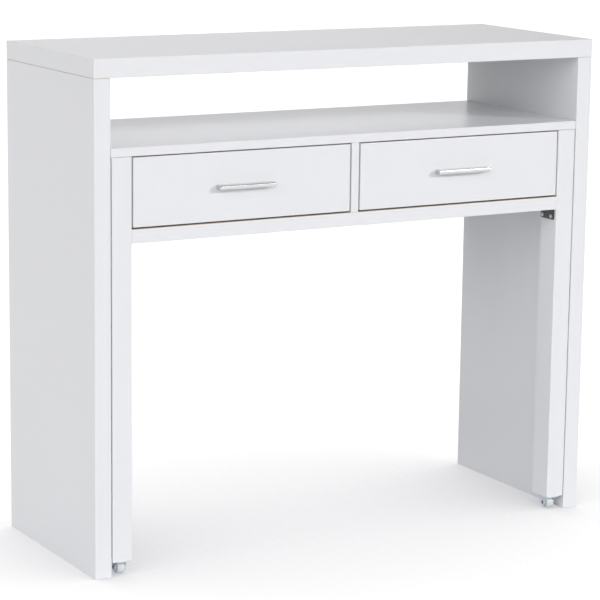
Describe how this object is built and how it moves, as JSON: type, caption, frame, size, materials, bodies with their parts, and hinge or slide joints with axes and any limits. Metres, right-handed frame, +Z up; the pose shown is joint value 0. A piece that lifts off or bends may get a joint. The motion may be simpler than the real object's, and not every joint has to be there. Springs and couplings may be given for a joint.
{
  "type": "extendable console desk",
  "caption": "White console table with a writing desk on casters that slides out of it on full-extension ball slides and carries drawers with slim metal bar handles.",
  "frame": {"origin": "on the floor, under the middle of the bounding box with the desk pushed in, handles included", "axes": "+X to the right along the console, +Y to the back, +Z up; the drawers face -Y and the desk slides out along -Y"},
  "size_m": [0.99, 0.375, 0.875],
  "materials": {
    "board": "satin white melamine on board",
    "drawer_base": "white faced hardboard",
    "dowel": "bare beech",
    "handle": "satin",
    "slide": "zinc plated",
    "cage": "bright",
    "fixing": "zinc plated",
    "caster": "blue passivated zinc",
    "bracket": "dark grey satin",
    "wheel": "semi-gloss moulded"
  },
  "bodies": {
    "console": {"console_top": "board", "console_side_left": "board", "console_side_right": "board", "rear_stretcher": "board", "console_dowels": "dowel", "cam_fittings": "fixing", "desk_slide_outer_left": "slide", "desk_slide_outer_right": "slide", "desk_slide_outer_screws": "fixing"},
    "desk": {"desk_top": "board", "post_left": "board", "post_right": "board", "front_rail": "board", "box_side_left": "board", "box_side_right": "board", "box_bottom": "board", "box_back": "board", "drawer_divider": "board", "box_dowels": "dowel", "box_screws": "fixing", "desk_slide_inner_left": "slide", "desk_slide_inner_right": "slide", "desk_slide_inner_screws": "fixing", "corner_brackets": "bracket", "corner_bracket_screws": "fixing", "caster_fork_left": "caster", "caster_fork_right": "caster", "caster_axles": "caster", "caster_screws": "fixing", "drawer_left_slide_outer": "slide", "drawer_right_slide_outer": "slide", "drawer_slide_outer_screws": "fixing"},
    "wheel_left": {"caster_wheel_left": "wheel"},
    "wheel_right": {"caster_wheel_right": "wheel"},
    "slide_middle_left": {"desk_slide_middle_left": "slide"},
    "slide_middle_right": {"desk_slide_middle_right": "slide"},
    "outer_cage_left": {"desk_slide_outer_cage_left": "cage"},
    "outer_cage_right": {"desk_slide_outer_cage_right": "cage"},
    "inner_cage_left": {"desk_slide_inner_cage_left": "cage"},
    "inner_cage_right": {"desk_slide_inner_cage_right": "cage"},
    "drawer_cages_left": {"drawer_left_slide_cages": "cage"},
    "drawer_cages_right": {"drawer_right_slide_cages": "cage"},
    "drawer_left": {"drawer_left_front": "board", "drawer_left_side_outer": "board", "drawer_left_side_inner": "board", "drawer_left_back": "board", "drawer_left_bottom": "drawer_base", "drawer_left_handle": "handle", "drawer_left_handle_screws": "fixing", "drawer_left_fixings": "fixing", "drawer_left_slide_inner": "slide"},
    "drawer_right": {"drawer_right_front": "board", "drawer_right_side_outer": "board", "drawer_right_side_inner": "board", "drawer_right_back": "board", "drawer_right_bottom": "drawer_base", "drawer_right_handle": "handle", "drawer_right_handle_screws": "fixing", "drawer_right_fixings": "fixing", "drawer_right_slide_inner": "slide"}
  },
  "joints": [
    {"name": "desk_slide", "type": "slide", "parent": "console", "child": "desk", "axis": [0, -1, 0], "range_m": [0, 0.34]},
    {"name": "slide_middle_left", "type": "slide", "parent": "console", "child": "slide_middle_left", "axis": [0, -1, 0], "range_m": [0, 0.17]},
    {"name": "outer_cage_left", "type": "slide", "parent": "console", "child": "outer_cage_left", "axis": [0, -1, 0], "range_m": [0, 0.085]},
    {"name": "inner_cage_left", "type": "slide", "parent": "console", "child": "inner_cage_left", "axis": [0, -1, 0], "range_m": [0, 0.255]},
    {"name": "slide_middle_right", "type": "slide", "parent": "console", "child": "slide_middle_right", "axis": [0, -1, 0], "range_m": [0, 0.17]},
    {"name": "outer_cage_right", "type": "slide", "parent": "console", "child": "outer_cage_right", "axis": [0, -1, 0], "range_m": [0, 0.085]},
    {"name": "inner_cage_right", "type": "slide", "parent": "console", "child": "inner_cage_right", "axis": [0, -1, 0], "range_m": [0, 0.255]},
    {"name": "drawer_slide_left", "type": "slide", "parent": "desk", "child": "drawer_left", "axis": [0, -1, 0], "range_m": [0, 0.21]},
    {"name": "drawer_cages_left", "type": "slide", "parent": "desk", "child": "drawer_cages_left", "axis": [0, -1, 0], "range_m": [0, 0.105]},
    {"name": "drawer_slide_right", "type": "slide", "parent": "desk", "child": "drawer_right", "axis": [0, -1, 0], "range_m": [0, 0.21]},
    {"name": "drawer_cages_right", "type": "slide", "parent": "desk", "child": "drawer_cages_right", "axis": [0, -1, 0], "range_m": [0, 0.105]},
    {"name": "wheel_spin_left", "type": "hinge", "parent": "desk", "child": "wheel_left", "pos_m": [-0.4425, -0.153, 0.011], "axis": [1, 0, 0], "continuous": true},
    {"name": "wheel_spin_right", "type": "hinge", "parent": "desk", "child": "wheel_right", "pos_m": [0.4425, -0.153, 0.011], "axis": [1, 0, 0], "continuous": true}
  ],
  "couplings": [
    {"joint": "slide_middle_left", "follows": "desk_slide", "ratio": 0.5},
    {"joint": "outer_cage_left", "follows": "desk_slide", "ratio": 0.25},
    {"joint": "inner_cage_left", "follows": "desk_slide", "ratio": 0.75},
    {"joint": "slide_middle_right", "follows": "desk_slide", "ratio": 0.5},
    {"joint": "outer_cage_right", "follows": "desk_slide", "ratio": 0.25},
    {"joint": "inner_cage_right", "follows": "desk_slide", "ratio": 0.75},
    {"joint": "drawer_cages_left", "follows": "drawer_slide_left", "ratio": 0.5},
    {"joint": "drawer_cages_right", "follows": "drawer_slide_right", "ratio": 0.5}
  ]
}
